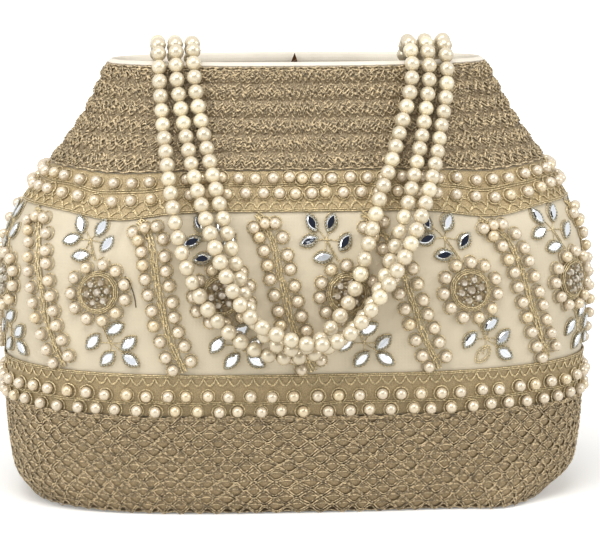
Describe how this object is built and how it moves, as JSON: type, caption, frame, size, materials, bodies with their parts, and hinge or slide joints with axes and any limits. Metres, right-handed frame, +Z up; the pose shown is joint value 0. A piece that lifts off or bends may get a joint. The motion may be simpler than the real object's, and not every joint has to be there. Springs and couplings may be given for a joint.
{
  "type": "potli bag",
  "caption": "Boxed satin potli bag with an open mouth, gold lace bands, beaded borders, mirror-work motifs and a limp handle of pearl strands",
  "frame": {"origin": "middle of the base, on the surface it stands on", "axes": "+Z up through the mouth, +X to the bag's right side in the picture, front with the hanging handle towards -Y"},
  "size_m": [0.2524, 0.1432, 0.1929],
  "materials": {
    "ivory_satin": "soft ivory satin",
    "cream_satin": "cream satin",
    "gold_lace": "antique gold thread lace",
    "border_net": "gold net with sewn pearls",
    "mirror_work": "small mirrors and stones in thread settings",
    "sewn_pearl": "pearl beads with gold cord",
    "handle_pearl": "glossy pearl",
    "board": "plain grey board",
    "plated_steel": "pale gold plate",
    "brown_patch": "dark brown cloth"
  },
  "bodies": {
    "root": {"outer_body": "ivory_satin", "base_board": "board", "lining": "cream_satin", "rim_facing": "cream_satin", "base_lace_band": "gold_lace", "top_lace_band": "gold_lace", "lower_border": "border_net", "upper_border": "border_net", "motif_01": "mirror_work", "stem_01": "sewn_pearl", "motif_02": "mirror_work", "stem_02": "sewn_pearl", "motif_03": "mirror_work", "stem_03": "sewn_pearl", "motif_04": "mirror_work", "stem_04": "sewn_pearl", "motif_05": "mirror_work", "stem_05": "sewn_pearl", "motif_06": "mirror_work", "stem_06": "sewn_pearl", "motif_07": "mirror_work", "stem_07": "sewn_pearl", "motif_08": "mirror_work", "stem_08": "sewn_pearl", "motif_09": "mirror_work", "stem_09": "sewn_pearl", "motif_10": "mirror_work", "stem_10": "sewn_pearl", "motif_11": "mirror_work", "stem_11": "sewn_pearl", "motif_12": "mirror_work", "stem_12": "sewn_pearl", "snap_patch_front": "brown_patch", "snap_patch_back": "brown_patch", "snap_socket": "plated_steel", "snap_stud": "plated_steel", "handle_anchor_left": "cream_satin", "handle_anchor_right": "cream_satin", "handle_strand_1": "handle_pearl", "handle_strand_2": "handle_pearl", "handle_strand_3": "handle_pearl"}
  },
  "joints": []
}
